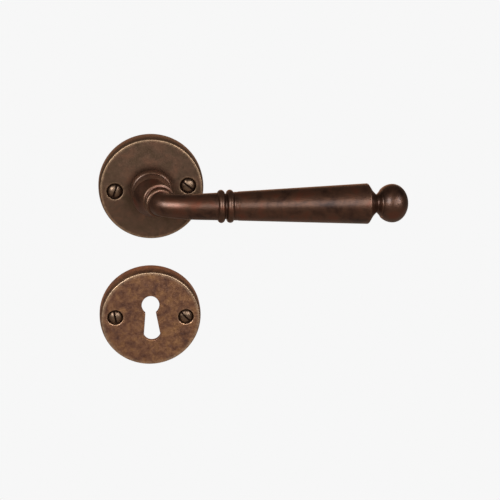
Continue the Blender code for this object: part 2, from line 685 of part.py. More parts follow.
def lever_profile():
    """(station, radius) along the lever's middle line, from the rose to the ball's end."""
    foot_end = LEVER_START + FOOT_LENGTH
    collar_end, shoulder, bend_bead = BEND_STATIONS[0], BEND_STATIONS[1], BEND_STATIONS[3]
    foot = [
        (LEVER_START, FOOT_RADIUS),
        (foot_end - 0.5 * MM, FOOT_RADIUS),
        (foot_end, FOOT_RADIUS - 0.4 * MM),
        (foot_end + 0.5 * MM, NECK_GROOVE_RADIUS),
        (foot_end + 1.4 * MM, NECK_RADIUS),
    ]
    neck = [
        (collar_end - 0.3 * MM, NECK_RADIUS),
        (collar_end + 0.4 * MM, NECK_RADIUS - 0.2 * MM),
        (shoulder, SHOULDER_RADIUS),
        (shoulder + 0.2 * MM, SHOULDER_RADIUS - SHOULDER_DROP),
    ]
    first = half_wave(bend_bead, BEND_BEAD_HALF_WIDTH, BEND_BEAD_RADIUS, SHOULDER_RADIUS - 1.7 * MM, 6)
    waist = [
        (bend_bead + 1.4 * MM, TUBE_THIN_RADIUS + 0.3 * MM),
        (bend_bead + 4.5 * MM, TUBE_THIN_RADIUS),
        (BEND_STATIONS[6], TUBE_THIN_RADIUS + 0.1 * MM),
        (BEND_STATIONS[9], TUBE_THIN_RADIUS + 0.6 * MM),
    ]
    reach = np.arange(bend_bead + 1.4 * MM, BEND_STATIONS[9], BEND_STEP)
    tube = list(zip(reach, np.interp(reach, *zip(*waist))))
    first_bead = ARM_STATION + TUBE_REACH
    second_bead = first_bead + ARM_BEAD_SPACING
    grip_start = second_bead + GRIP_FILLET_LENGTH
    grip_end = grip_start + GRIP_LENGTH
    ball_neck = grip_end + BALL_CONE_LENGTH
    beads = half_wave(first_bead, ARM_BEAD_HALF_WIDTH[0], ARM_BEAD_RADIUS, TUBE_THICK_RADIUS, 8)
    beads += [(first_bead + ARM_BEAD_SPACING / 2, ARM_GROOVE_RADIUS)]
    beads += half_wave(second_bead, ARM_BEAD_HALF_WIDTH[1], ARM_BEAD_RADIUS, GRIP_START_RADIUS, 7)
    grip = [
        (grip_start, GRIP_START_RADIUS),
        (grip_end - 0.3 * MM, GRIP_END_RADIUS),
        (grip_end + 0.4 * MM, GRIP_END_RADIUS - 0.5 * MM),
        (ball_neck - 1.6 * MM, BALL_NECK_RADIUS + 2.0 * MM),
        (ball_neck, BALL_NECK_RADIUS),
    ]
    return foot + neck + first + tube + waist[-1:] + beads + grip + ball_profile(ball_neck)


def through(at, knots, values):
    """A smooth curve through the knots: cubic pieces, with a weighted mean slope at each knot."""
    step = np.diff(knots)
    rise = np.diff(values) / step
    inner = (rise[:-1] * step[1:] + rise[1:] * step[:-1]) / (step[:-1] + step[1:])
    slope = np.concatenate((rise[:1], inner, rise[-1:]))
    piece = np.clip(np.searchsorted(knots, at) - 1, 0, len(step) - 1)
    t = (at - knots[piece]) / step[piece]
    start, end = values[piece], values[piece + 1]
    lean = step[piece] * t * (1 - t) * ((1 - t) * slope[piece] - t * slope[piece + 1])
    return start + (end - start) * t * t * (3 - 2 * t) + lean


def lever_rings(profile):
    """The lever's rings: round its middle line straight out, through the bend and straight across."""
    stations, radii = np.array(profile).T
    on_bend = np.clip(stations, BEND_STATIONS[0], BEND_STATIONS[-1])
    across, out, turn = (through(on_bend, BEND_STATIONS, column) for column in BEND.T)
    out = out - np.maximum(BEND_STATIONS[0] - stations, 0.0)
    across = across + np.maximum(stations - BEND_STATIONS[-1], 0.0)
    angle = np.linspace(0.0, 2 * math.pi, LEVER_SIDES, endpoint=False)
    sideways = radii[:, None] * np.cos(angle)
    rings = np.empty((len(stations), LEVER_SIDES, 3))
    rings[:, :, 0] = across[:, None] + sideways * np.cos(turn)[:, None]
    rings[:, :, 1] = -out[:, None] + sideways * np.sin(turn)[:, None]
    rings[:, :, 2] = radii[:, None] * np.sin(angle)
    return rings


def skin(name, rings, look=None):
    """A closed mesh through rings of points, with a flat face over each end."""
    count, sides = rings.shape[:2]
    faces = [
        (r * sides + s, r * sides + (s + 1) % sides, (r + 1) * sides + (s + 1) % sides, (r + 1) * sides + s)
        for r in range(count - 1)
        for s in range(sides)
    ]
    faces += [tuple(range(sides)), tuple(range((count - 1) * sides, count * sides))]
    mesh = bpy.data.meshes.new(name)
    mesh.from_pydata(rings.reshape(-1, 3).tolist(), [], faces)
    work = bmesh.new()
    work.from_mesh(mesh)
    bmesh.ops.recalc_face_normals(work, faces=work.faces)
    for face in work.faces:
        face.smooth = True
    work.to_mesh(mesh)
    work.free()
    return place(bpy.data.objects.new(name, mesh), Matrix.Identity(4), look)


def lever_handle(look):
    """The lever in one casting, from the spigot in the rose to the ball at its end."""
    lever = skin("lever_handle", lever_rings(lever_profile()), look)
    groove_front = CLIP_FRONT + GAP
    spigot_profile = [
        (0.0, LEVER_START + MM),
        (SPIGOT_RADIUS, LEVER_START + MM),
        (SPIGOT_RADIUS, groove_front),
        (CLIP_GROOVE_RADIUS, groove_front),
        (CLIP_GROOVE_RADIUS, CLIP_GROOVE_BACK),
        (SPIGOT_RADIUS, CLIP_GROOVE_BACK),
        (SPIGOT_RADIUS, SPIGOT_END),
        (0.0, SPIGOT_END),
    ]
    join_or_cut(lever, [turned("spigot", spigot_profile, facing_front(), steps=36)], "UNION")
    cutters = []
    for side in (-1, 1):
        height = SPIGOT_RADIUS
        flat_length = DRIVER_FRONT + GAP
        where = Matrix.Translation((0.0, -flat_length / 2, side * (SPIGOT_FLAT + height / 2)))
        cutters.append(block(f"spigot_flat_{side}", (3 * SPIGOT_RADIUS, flat_length, height), where))
    socket_end = SPINDLE_DEPTH_IN_LEVER + GAP
    where = Matrix.Translation((0.0, -socket_end / 2, 0.0))
    cutters.append(block("spindle_socket", (2 * SOCKET_HALF, socket_end, 2 * SOCKET_HALF), where))
    bottom = -FOOT_RADIUS - MM
    tapping = [(0.0, 0.0), (GRUB_RADIUS + GAP, 0.0), (GRUB_RADIUS + GAP, bottom), (0.0, bottom)]
    where = Matrix.Translation((0.0, -GRUB_DEPTH, 0.0))
    cutters.append(turned("grub_tapping", tapping, where, steps=SMALL_STEPS))
    join_or_cut(lever, cutters, "DIFFERENCE")


# ---- The whole set ----


def screw_pair(prefix, places, slot_angles):
    """A cover's left and right wood screws."""
    for side, (x, z), slot_angle in zip(("left", "right"), places, slot_angles):
        look = metal(f"{prefix}_screw_{side}_bronze", BROWNED_BRONZE, 0.35)
        wood_screw(f"{prefix}_screw_{side}", x, z, slot_angle, look)


rose_cover(metal("rose_bronze", BROWNED_BRONZE, 0.45))
keyhole_cover(metal("keyhole_cover_bronze", (0.16, 0.105, 0.07), 0.5))
screw_pair("rose", rose_screw_places(), ROSE_SLOT_ANGLES)
screw_pair("keyhole", keyhole_screw_places(), KEYHOLE_SLOT_ANGLES)
rose_back_plate(metal("plate_steel", STEEL, 0.4))
plate_screws(metal("plate_screw_steel", STEEL, 0.35))
stop_pins(metal("stop_pin_steel", STEEL, 0.3))
neck_bush(metal("bush_brass", (0.75, 0.55, 0.25), 0.35))
thrust_washer(metal("washer_steel", STEEL, 0.3))
spring_driver(metal("driver_steel", STEEL, 0.4))
retaining_clip(metal("clip_steel", (0.2, 0.2, 0.21), 0.35))
return_spring(metal("spring_steel", (0.3, 0.3, 0.32), 0.3))
spindle(metal("spindle_steel", STEEL, 0.35))
grub_screw(metal("grub_steel", (0.15, 0.15, 0.16), 0.4))
lever_handle(metal("lever_bronze", (0.12, 0.06, 0.04), 0.3))
bpy.context.view_layer.update()
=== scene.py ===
"""Door lever handle on a round rose, with its matching keyhole cover, as they look in use.

The origin is on the spindle's axis at the door's face: the front looks along -Y, the lever reaches
along +X and a depth is a distance in front of the door. The pieces' sizes are in millimetres.
"""

import json
import math

import bpy
import numpy as np
from mathutils import Matrix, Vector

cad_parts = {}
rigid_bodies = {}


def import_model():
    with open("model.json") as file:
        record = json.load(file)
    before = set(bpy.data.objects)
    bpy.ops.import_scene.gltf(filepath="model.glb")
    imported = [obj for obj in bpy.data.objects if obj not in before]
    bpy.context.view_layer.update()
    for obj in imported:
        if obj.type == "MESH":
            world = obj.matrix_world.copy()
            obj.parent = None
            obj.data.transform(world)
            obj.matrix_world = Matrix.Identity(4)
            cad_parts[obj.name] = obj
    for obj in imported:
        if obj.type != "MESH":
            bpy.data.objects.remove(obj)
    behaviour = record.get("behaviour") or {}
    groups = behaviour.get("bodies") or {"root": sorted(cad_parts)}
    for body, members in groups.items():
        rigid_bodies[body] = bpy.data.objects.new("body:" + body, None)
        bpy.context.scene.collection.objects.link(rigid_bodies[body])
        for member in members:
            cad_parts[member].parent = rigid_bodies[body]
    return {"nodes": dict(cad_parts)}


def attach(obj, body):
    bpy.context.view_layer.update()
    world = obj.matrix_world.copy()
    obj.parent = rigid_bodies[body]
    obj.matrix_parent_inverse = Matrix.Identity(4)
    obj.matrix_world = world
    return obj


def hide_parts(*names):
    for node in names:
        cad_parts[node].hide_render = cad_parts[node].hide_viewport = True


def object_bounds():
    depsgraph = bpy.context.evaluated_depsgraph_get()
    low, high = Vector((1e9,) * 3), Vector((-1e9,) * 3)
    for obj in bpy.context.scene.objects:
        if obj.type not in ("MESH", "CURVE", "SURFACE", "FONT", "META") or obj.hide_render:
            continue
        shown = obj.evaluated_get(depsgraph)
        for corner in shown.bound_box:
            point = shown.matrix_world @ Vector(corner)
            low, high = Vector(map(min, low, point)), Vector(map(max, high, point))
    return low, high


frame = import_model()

CAD_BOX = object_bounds()
MM = 0.001


# ---- The studio ----
# A pale floor far below, a bright backdrop, three soft boxes in front, each given by its azimuth,
# elevation and power, and the camera above and a little left. None of it is part of the door set,
# and its distances are in metres.

STUDIO_WHITE, GROUND_TINT, BACKDROP_TINT = "#f7f7f7", "#ffe4d0", "#ffb27c"
CAMERA_PLACE = (-18.5 * MM, -525.9 * MM, 139.0 * MM)
CAMERA_DOWN, CAMERA_RIGHT, CAMERA_ROLL = np.radians((18.22, 7.48, 0.97))
CAMERA_LENS, CAMERA_SENSOR = 77.9, 36.0
CAMERA_NEAR, CAMERA_FAR = 0.02, 50.0
FLOOR_DROP, FLOOR_REACH = 0.45, 12.0
SOFT_BOXES = ((-41.0, 25.0, 9.0), (41.0, 25.0, 6.0), (12.0, 22.0, 3.0))
SOFT_BOX_DISTANCE = 1.1
SOFT_BOX_SIZE = (0.42, 0.55)
# What the metal mirrors, by how far a direction points backwards or up: where the glow starts, where
# it is full and how strong it is
BACKDROP_START, BACKDROP_FULL, BACKDROP_GLOW = 0.80, 0.96, 0.8
GROUND_START, GROUND_FULL, GROUND_GLOW, CEILING_GLOW = 0.1, -0.9, 0.34, 0.10


def linear(hex_colour):
    """An sRGB hex colour as linear RGBA: the sRGB curve undone for each channel."""
    srgb = np.array([int(hex_colour[i : i + 2], 16) / 255 for i in (1, 3, 5)])
    flat = np.where(srgb <= 0.04045, srgb / 12.92, ((srgb + 0.055) / 1.055) ** 2.4)
    return (*flat.tolist(), 1.0)


def add(tree, kind, inputs=None, **settings):
    """Add a node: its settings, then each input as a plain value or as another node's output."""
    made = tree.nodes.new(kind)
    for name, value in settings.items():
        setattr(made, name, value)
    for name, value in (inputs or {}).items():
        if isinstance(value, bpy.types.NodeSocket):
            tree.links.new(value, made.inputs[name])
        else:
            made.inputs[name].default_value = value
    return made


def bare_material(name):
    """A new material with an empty node tree, and the tree."""
    made = bpy.data.materials.new(name)
    made.use_nodes = True
    made.node_tree.nodes.clear()
    return made, made.node_tree


def link_new(name, data):
    """A new object in the scene, at the origin."""
    made = bpy.data.objects.new(name, data)
    bpy.context.scene.collection.objects.link(made)
    return made


camera = link_new("camera", bpy.data.cameras.new("camera"))
camera.data.lens = CAMERA_LENS
camera.data.sensor_width = CAMERA_SENSOR
camera.data.clip_start = CAMERA_NEAR
camera.data.clip_end = CAMERA_FAR
ahead = np.array(
    (
        math.sin(CAMERA_RIGHT) * math.cos(CAMERA_DOWN),
        math.cos(CAMERA_RIGHT) * math.cos(CAMERA_DOWN),
        -math.sin(CAMERA_DOWN),
    )
)
level = np.array((math.cos(CAMERA_RIGHT), -math.sin(CAMERA_RIGHT), 0.0))
upward = np.cross(level, ahead)
across = level * math.cos(CAMERA_ROLL) + upward * math.sin(CAMERA_ROLL)
upright = upward * math.cos(CAMERA_ROLL) - level * math.sin(CAMERA_ROLL)
aim = Matrix(np.column_stack((across, upright, -ahead)).tolist()).to_4x4()
camera.matrix_world = Matrix.Translation(CAMERA_PLACE) @ aim
bpy.context.scene.camera = camera
bpy.context.scene.view_settings.view_transform = "Standard"

# The floor is a lit white sweep, so that no shadow of the set falls on it
floor_paint, floor_tree = bare_material("lit_white_floor")
glow = add(floor_tree, "ShaderNodeEmission", {"Color": linear(STUDIO_WHITE)})
add(floor_tree, "ShaderNodeOutputMaterial", {"Surface": glow.outputs[0]})
floor_mesh = bpy.data.meshes.new("floor")
corners = np.array(((-1, -1), (1, -1), (1, 1), (-1, 1))) * FLOOR_REACH
floor_mesh.from_pydata([(x, y, CAD_BOX[0].z - FLOOR_DROP) for x, y in corners], [], [(0, 1, 2, 3)])
floor_mesh.materials.append(floor_paint)
floor = link_new("floor", floor_mesh)
floor.visible_diffuse = False
floor.visible_glossy = False
floor.visible_shadow = False

# The room that the metal mirrors: a warm backdrop behind the set, a dim ceiling and a pale floor.
# The camera itself sees only plain white.
room = bpy.data.worlds.new("studio")
bpy.context.scene.world = room
room.use_nodes = True
sky = room.node_tree
sky.nodes.clear()
way = add(sky, "ShaderNodeTexCoord").outputs["Generated"]
part_of_way = add(sky, "ShaderNodeSeparateXYZ", {0: way}).outputs
backdrop = add(
    sky,
    "ShaderNodeMapRange",
    {
        "Value": part_of_way["Y"],
        "From Min": BACKDROP_START,
        "From Max": BACKDROP_FULL,
        "To Min": 0.0,
        "To Max": BACKDROP_GLOW,
    },
    interpolation_type="SMOOTHSTEP",
)
ground = add(
    sky,
    "ShaderNodeMapRange",
    {
        "Value": part_of_way["Z"],
        "From Min": GROUND_START,
        "From Max": GROUND_FULL,
        "To Min": CEILING_GLOW,
        "To Max": GROUND_GLOW,
    },
    interpolation_type="SMOOTHSTEP",
)
mirrored = add(sky, "ShaderNodeMath", {0: backdrop.outputs[0], 1: ground.outputs[0]}, operation="MAXIMUM")
tint = add(
    sky,
    "ShaderNodeMixRGB",
    {"Fac": backdrop.outputs[0], "Color1": linear(GROUND_TINT), "Color2": linear(BACKDROP_TINT)},
)
room_light = add(sky, "ShaderNodeBackground", {"Color": tint.outputs[0], "Strength": mirrored.outputs[0]})
seen_light = add(sky, "ShaderNodeBackground", {"Color": linear(STUDIO_WHITE)})
seen = add(sky, "ShaderNodeLightPath").outputs["Is Camera Ray"]
either = add(sky, "ShaderNodeMixShader", {0: seen, 1: room_light.outputs[0], 2: seen_light.outputs[0]})
add(sky, "ShaderNodeOutputWorld", {"Surface": either.outputs[0]})

middle = (np.array(CAD_BOX[0]) + np.array(CAD_BOX[1])) / 2
for azimuth, elevation, power in SOFT_BOXES:
    soft_box = bpy.data.lights.new("soft_box", "AREA")
    soft_box.shape = "RECTANGLE"
    soft_box.size, soft_box.size_y = SOFT_BOX_SIZE
    soft_box.energy = power
    lamp = link_new("soft_box", soft_box)
    around, up = math.radians(azimuth), math.radians(elevation)
    back = np.array((math.sin(around) * math.cos(up), -math.cos(around) * math.cos(up), math.sin(up)))
    side = np.cross((0.0, 0.0, 1.0), back)
    side /= np.linalg.norm(side)
    turned = Matrix(np.column_stack((side, np.cross(back, side), back)).tolist()).to_4x4()
    lamp.matrix_world = Matrix.Translation(middle + back * SOFT_BOX_DISTANCE) @ turned
    lamp.visible_camera = False


# ---- The lever ----
# One bronze casting: a spigot that turns in the rose, a stout neck, a shoulder at the bend with a
# ring behind it, a waisted tube, two beads, a tapered grip and a ball. It is dressed, browned in
# acid and waxed.

LEVER_SIDES, LEVER_STEP, FINE_STEP = 144, 0.32, 0.012
# The bend's middle line: how far across, how far out, and how many degrees the section has turned
BEND = np.array(
    (
        (0.0, 24.6, 0.0),
        (2.9, 28.9, 13.0),
        (2.8, 31.2, 14.0),
        (2.75, 33.9, 16.0),
        (3.2, 35.6, 24.0),
        (4.5, 37.3, 44.0),
        (7.6, 38.9, 64.0),
        (12.0, 40.3, 77.0),
        (16.5, 41.2, 84.0),
        (20.5, 41.5, 90.0),
    )
)
# The lever as it is turned, in (station, radius) rows. A station is a distance along the middle
# line, counted from the door's face; the arm's rows count from the spindle's axis instead.
SPIGOT_TURNING = ((1.6, 7.98), (2.2, 7.98), (2.21, 7.08), (3.6, 7.08), (3.61, 7.98), (9.6, 7.98))
NECK_TURNING = (
    (9.61, 10.1),
    (9.9, 10.3),
    (14.2, 10.3),
    (14.6, 10.0),
    (15.0, 9.1),
    (15.5, 9.1),
    (16.1, 9.5),
    (24.3, 9.5),
    (25.0, 9.3),
)
BEND_TURNING = (
    (29.5, 7.8),
    (29.8, 7.65),
    (29.95, 6.4),
    (31.5, 6.1),
    (33.9, 6.0),
    (35.7, 5.8),
    (37.0, 5.65),
    (39.5, 5.45),
    (43.0, 5.55),
    (47.0, 5.8),
    (51.4, 5.98),
)
ARM_TURNING = (
    (20.5, 6.12),
    (29.2, 6.45),
    (32.9, 6.0),
    (33.5, 6.0),
    (34.6, 6.4),
    (36.9, 6.5),
    (37.4, 6.7),
    (38.6, 6.75),
    (38.75, 6.6),
    (39.0, 6.85),
    (100.8, 9.66),
    (101.2, 9.5),
    (103.1, 6.6),
    (103.4, 6.2),
    (104.6, 4.9),
    (105.4, 4.3),
    (106.0, 4.8),
    (107.2, 6.2),
    (107.5, 6.3),
    (107.8, 6.1),
)
# The beads in (station, half width, crest radius) rows
BENDS_BEADS = ((34.8, 1.0, 7.0),)
ARMS_BEADS = ((31.1, 1.75, 7.8), (35.3, 1.7, 7.8))
# From the neck's back on, the corners are softened over so many fine steps. The arm's beads stand
# on roots a little below the bar
NECK_BACK, TOOL_ROUNDING, BEAD_SINK = 9.7, 14, 0.3
BALL_CENTRE, BALL_RADIUS, BALL_NEAR, BALL_FAR, BALL_START = 113.1, 9.2, 8.3, 7.45, 107.6
# A turned shape never quite comes to a point: it closes with a fan over a ring of this radius
POLE_RADIUS = 0.02
GRUB_DEPTH, GRUB_HOLE_RADIUS, GRUB_MOUTH_RADIUS, GRUB_HOLE_SIDES = 17.0, 2.7, 3.4, 48
SOCKET_HALF, SOCKET_END = 4.3, 21.3
SPIGOT_FLAT, FLATS_END, FLATS_REACH = 7.0, 4.9, 9.0

BRONZE_SHADOW, BRONZE_BROWN, BRONZE_RED = "#2b1710", "#573b2c", "#693826"
BRONZE_BARE = "#b08d6e"
SAND_GRAIN, WAX_SPECK, CASTING_SWELL = 0.42, 1.1, 3.5
# How sharp a corner is where wear and dirt start and where they are full, and how strong they are
WEAR_START, WEAR_FULL, ROSE_END_WEAR, ARM_WEAR = 0.35, 1.2, 0.5, 0.15
DIRT_START, DIRT_FULL, HOLLOW_DIRT = 0.2, 1.5, 0.8


def run_along(line):
    """How far along a line of points each point is: the sum of the steps before it."""
    return np.concatenate(([0.0], np.cumsum(np.hypot(*np.diff(line, axis=0).T))))


def bell_of(width):
    """The weights of a bell curve that is width samples wide, out to three widths either side."""
    reach = np.arange(-3 * width, 3 * width + 1)
    weights = np.exp(-0.5 * (reach / width) ** 2)
    return weights / weights.sum()


def outlined(stations, radii, step):
    """A turned profile again at even steps along its own line, so that curves get more points."""
    run = run_along(np.column_stack((stations, radii)))
    even = np.linspace(0.0, run[-1], int(run[-1] / step) + 1)
    return np.interp(even, run, stations), np.interp(even, run, radii)


def softened(values, width):
    """Values averaged with their neighbours by a bell curve that is width samples wide."""
    return np.convolve(np.pad(values, 3 * width, mode="edge"), bell_of(width), mode="valid")


def bead(stations, centre, half_width, crest):
    """Half an ellipse on its flat side: crest height times root of 1 - ((s - centre) / half)^2."""
    return crest * np.sqrt(np.clip(1.0 - ((stations - centre) / half_width) ** 2, 0.0, None))


def through(at, knots, values):
    """A smooth curve through the knots: cubic pieces, with a weighted mean slope at each knot."""
    step = np.diff(knots)
    rise = np.diff(values) / step
    inner = (rise[:-1] * step[1:] + rise[1:] * step[:-1]) / (step[:-1] + step[1:])
    slope = np.concatenate((rise[:1], inner, rise[-1:]))
    piece = np.clip(np.searchsorted(knots, at) - 1, 0, len(step) - 1)
    t = (at - knots[piece]) / step[piece]
    start, end = values[piece], values[piece + 1]
    ease = t * t * (3 - 2 * t)
    lean = step[piece] * t * (1 - t) * ((1 - t) * slope[piece] - t * slope[piece + 1])
    return start + (end - start) * ease + lean


BEND_STATIONS = BEND[0, 1] + run_along(BEND[:, :2])
ARM = BEND_STATIONS[-1] - BEND[-1, 0]


def bent_line(stations):
    """Points and directions along the middle line: straight out, round the bend, straight across."""
    on_bend = np.clip(stations, BEND_STATIONS[0], BEND_STATIONS[-1])
    along, out, turn = (through(on_bend, BEND_STATIONS, column) for column in BEND.T)
    turn = np.radians(turn)
    out = out - np.maximum(BEND_STATIONS[0] - stations, 0.0)
    along = along + np.maximum(stations - BEND_STATIONS[-1], 0.0)
    points = np.column_stack((along, -out, np.zeros_like(stations)))
    directions = np.column_stack((np.sin(turn), -np.cos(turn), np.zeros_like(stations)))
    return points, directions


def skin(name, rings, tube_is_closed=False):
    """A mesh over a grid of points in metres: quads from ring to ring, and a fan over each end."""
    count, sides = rings.shape[:2]
    index = np.arange(count * sides).reshape(count, sides)
    index = np.column_stack((index, index[:, :1]))
    if tube_is_closed:
        index = np.vstack((index, index[:1]))
    quads = np.stack((index[:-1, :-1], index[:-1, 1:], index[1:, 1:], index[1:, :-1]), axis=-1)
    faces = quads.reshape(-1, 4).tolist()
    points = rings.reshape(-1, 3)
    if not tube_is_closed:
        first, last = index[0], index[-1]
        points = np.vstack((points, rings[0].mean(axis=0), rings[-1].mean(axis=0)))
        near, far = count * sides, count * sides + 1
        faces += np.column_stack((first[1:], first[:-1], np.full(sides, near))).tolist()
        faces += np.column_stack((last[:-1], last[1:], np.full(sides, far))).tolist()
    mesh = bpy.data.meshes.new(name)
    mesh.from_pydata(points.tolist(), [], faces)
    corners = points[np.array([face[:3] for face in faces])]
    if np.einsum("ij,ij->", corners[:, 0], np.cross(corners[:, 1], corners[:, 2])) < 0:
        mesh.flip_normals()
    mesh.shade_smooth()
    return mesh


def full_turn(sides):
    """Even angles once round, without the last one, which is the first again."""
    return np.linspace(0.0, 2 * math.pi, sides, endpoint=False)


def carried(name, stations, radii, line, sides):
    """A round bar: a circle of the profile's radius at each station, square to the middle line."""
    points, directions = line(stations)
    sideways = np.cross(directions, (0.0, 0.0, 1.0))
    turn = full_turn(sides)
    spokes = np.cos(turn)[None, :, None] * sideways[:, None, :]
    spokes = spokes + np.sin(turn)[None, :, None] * np.array((0.0, 0.0, 1.0))
    return skin(name, (points[:, None, :] + radii[:, None, None] * spokes) * MM)


def turned_out(name, profile, x, z, sides, closed=False):
    """A profile of (radius, depth) rows turned about the line at x and z that runs out of the door."""
    turn = full_turn(sides)
    rings = np.empty((len(profile), sides, 3))
    rings[:, :, 0] = x + profile[:, :1] * np.cos(turn)
    rings[:, :, 1] = -profile[:, 1:]
    rings[:, :, 2] = z + profile[:, :1] * np.sin(turn)
    return skin(name, rings * MM, tube_is_closed=closed)


def block(name, low, high):
    """A box between two corners in millimetres."""
    (x0, y0, z0), (x1, y1, z1) = low, high
    loop = np.array(((x0, z0), (x1, z0), (x1, z1), (x0, z1)))
    rings = np.stack([np.column_stack((loop[:, 0], np.full(4, y), loop[:, 1])) for y in (y0, y1)])
    return skin(name, rings * MM)


def shaped(piece, tools, operation="DIFFERENCE"):
    """Join the tool meshes to a piece or take them out of it, and keep the finished mesh."""
    group = bpy.data.collections.new("tools")
    for number, tool in enumerate(tools):
        group.objects.link(bpy.data.objects.new(f"tool_{number}", tool))
    change = piece.modifiers.new("shape", "BOOLEAN")
    change.operation = operation
    change.operand_type = "COLLECTION"
    change.collection = group
    change.solver = "EXACT"
    changed = piece.evaluated_get(bpy.context.evaluated_depsgraph_get())
    finished = bpy.data.meshes.new_from_object(changed)
    piece.modifiers.clear()
    piece.data = finished
    for tool in list(group.objects):
        bpy.data.objects.remove(tool)
    bpy.data.collections.remove(group)
    finished.shade_smooth()
    finished.set_sharp_from_angle(angle=math.radians(40))


def vertices(mesh):
    """A mesh's points in millimetres, as one array."""
    points = np.empty(len(mesh.vertices) * 3)
    mesh.vertices.foreach_get("co", points)
    return points.reshape(-1, 3) / MM


def mark(mesh, name, values):
    """Store a number from 0 to 1 for each point of a mesh, for its material to read."""
    layer = mesh.attributes.new(name, "FLOAT", "POINT")
    layer.data.foreach_set("value", np.clip(values, 0.0, 1.0).astype(np.float32))


def aged_bronze(name, tones, bare, patch, gloss, metallic, coat):
    """Browned and waxed cast bronze: clouded patina, sand-cast grain, bare metal on worn edges.

    The tones run from shadow to light over blotches of the given size in millimetres. The grain
    of the casting sand is about 0.4 mm, and the wax fills it unevenly, so the gloss varies between
    the two roughnesses given. The wear mark bares the metal, and the grime mark darkens the hollows with
    dirt and, on the rose round the lever's neck, with a painted shadow.
    """
    made, tree = bare_material(name)
    place = add(tree, "ShaderNodeTexCoord").outputs["Object"]
    cloud = add(
        tree,
        "ShaderNodeTexNoise",
        {"Vector": place, "Scale": 1 / (patch * MM), "Detail": 6.0, "Roughness": 0.62, "Distortion": 0.4},
    )
    ramp = add(tree, "ShaderNodeValToRGB", {"Fac": cloud.outputs["Fac"]})
    ramp.color_ramp.elements[0].position = 0.30
    ramp.color_ramp.elements[0].color = linear(tones[0])
    ramp.color_ramp.elements[1].position = 0.72
    ramp.color_ramp.elements[1].color = linear(tones[2])
    ramp.color_ramp.elements.new(0.5).color = linear(tones[1])
    speck = add(
        tree,
        "ShaderNodeTexNoise",
        {"Vector": place, "Scale": 1 / (WAX_SPECK * MM), "Detail": 4.0, "Roughness": 0.7},
    )
    worn = add(tree, "ShaderNodeAttribute", attribute_name="wear")
    worn_share = add(
        tree,
        "ShaderNodeMapRange",
        {"Value": speck.outputs["Fac"], "From Min": 0.25, "From Max": 0.65, "To Min": 0.35, "To Max": 1.0},
    )
    rubbed = add(
        tree,
        "ShaderNodeMath",
        {0: worn.outputs["Fac"], 1: worn_share.outputs[0]},
        operation="MULTIPLY",
        use_clamp=True,
    )
    rubbed_colour = add(
        tree,
        "ShaderNodeMixRGB",
        {"Fac": rubbed.outputs[0], "Color1": ramp.outputs["Color"], "Color2": linear(bare)},
    )
    # Dirt in the hollows darkens the colour; on the rose round the lever's neck this darkening is a
    # painted shadow
    dirt_and_shade = add(tree, "ShaderNodeAttribute", attribute_name="grime_and_shade")
    colour = add(
        tree,
        "ShaderNodeMixRGB",
        {"Fac": dirt_and_shade.outputs["Fac"], "Color1": rubbed_colour.outputs[0], "Color2": linear(BRONZE_SHADOW)},
    )
    sand = add(
        tree,
        "ShaderNodeTexNoise",
        {"Vector": place, "Scale": 1 / (SAND_GRAIN * MM), "Detail": 3.0, "Roughness": 0.6},
    )
    swell = add(
        tree,
        "ShaderNodeTexNoise",
        {"Vector": place, "Scale": 1 / (CASTING_SWELL * MM), "Detail": 3.0, "Roughness": 0.5},
    )
    low = add(
        tree,
        "ShaderNodeBump",
        {"Height": swell.outputs["Fac"], "Strength": 0.25, "Distance": 0.25 * MM},
    )
    grain = add(
        tree,
        "ShaderNodeBump",
        {"Height": sand.outputs["Fac"], "Strength": 0.6, "Distance": 0.08 * MM, "Normal": low.outputs[0]},
    )
    matt = add(
        tree,
        "ShaderNodeMapRange",
        {
            "Value": speck.outputs["Fac"],
            "From Min": 0.3,
            "From Max": 0.7,
            "To Min": gloss[0],
            "To Max": gloss[1],
        },
    )
    shader = add(
        tree,
        "ShaderNodeBsdfPrincipled",
        {
            "Base Color": colour.outputs[0],
            "Metallic": metallic,
            "Roughness": matt.outputs[0],
            "Normal": grain.outputs[0],
            "Coat Weight": coat,
            "Coat Roughness": 0.28,
        },
    )
    add(tree, "ShaderNodeOutputMaterial", {"Surface": shader.outputs[0]})
    return made


def with_beads(stations, radii, beads, sink):
    """The radii with each bead on them: its crest stands up from a root sunk below the bar there."""
    for centre, half_width, crest in beads:
        root = np.interp(centre, stations, radii) - sink
        raised = root + bead(stations, centre, half_width, crest - root)
        on_bead = np.abs(stations - centre) < half_width
        radii = np.where(on_bead, np.maximum(radii, raised), radii)
    return radii


def lever_radius(stations):
    """The lever's radius at each station, out from the door's face and on along the arm."""
    arm = tuple((ARM + x, radius) for x, radius in ARM_TURNING)
    knots = np.array(SPIGOT_TURNING + NECK_TURNING + BEND_TURNING + arm)
    radii = np.interp(stations, knots[:, 0], knots[:, 1])
    past_spigot = stations > NECK_BACK
    radii[past_spigot] = softened(radii, TOOL_ROUNDING)[past_spigot]
    radii = with_beads(stations, radii, BENDS_BEADS, 0.0)
    arms_beads = tuple((ARM + x, half_width, crest) for x, half_width, crest in ARMS_BEADS)
    radii = with_beads(stations, radii, arms_beads, BEAD_SINK)
    ball_half = np.where(stations < ARM + BALL_CENTRE, BALL_NEAR, BALL_FAR)
    ball = bead(stations, ARM + BALL_CENTRE, ball_half, BALL_RADIUS)
    return np.where(stations > ARM + BALL_START, ball, radii)


fine = np.arange(SPIGOT_TURNING[0][0], ARM + BALL_CENTRE + BALL_FAR, FINE_STEP)
fine_radii = np.maximum(lever_radius(fine), POLE_RADIUS)
lever_stations, lever_radii = outlined(fine, fine_radii, LEVER_STEP)
lever = link_new("lever", carried("lever", lever_stations, lever_radii, bent_line, LEVER_SIDES))


def on_rings(values):
    """A value for each ring of the lever, given to all its points and as 0 to its two end points."""
    return np.append(np.repeat(values, LEVER_SIDES), (0.0, 0.0))


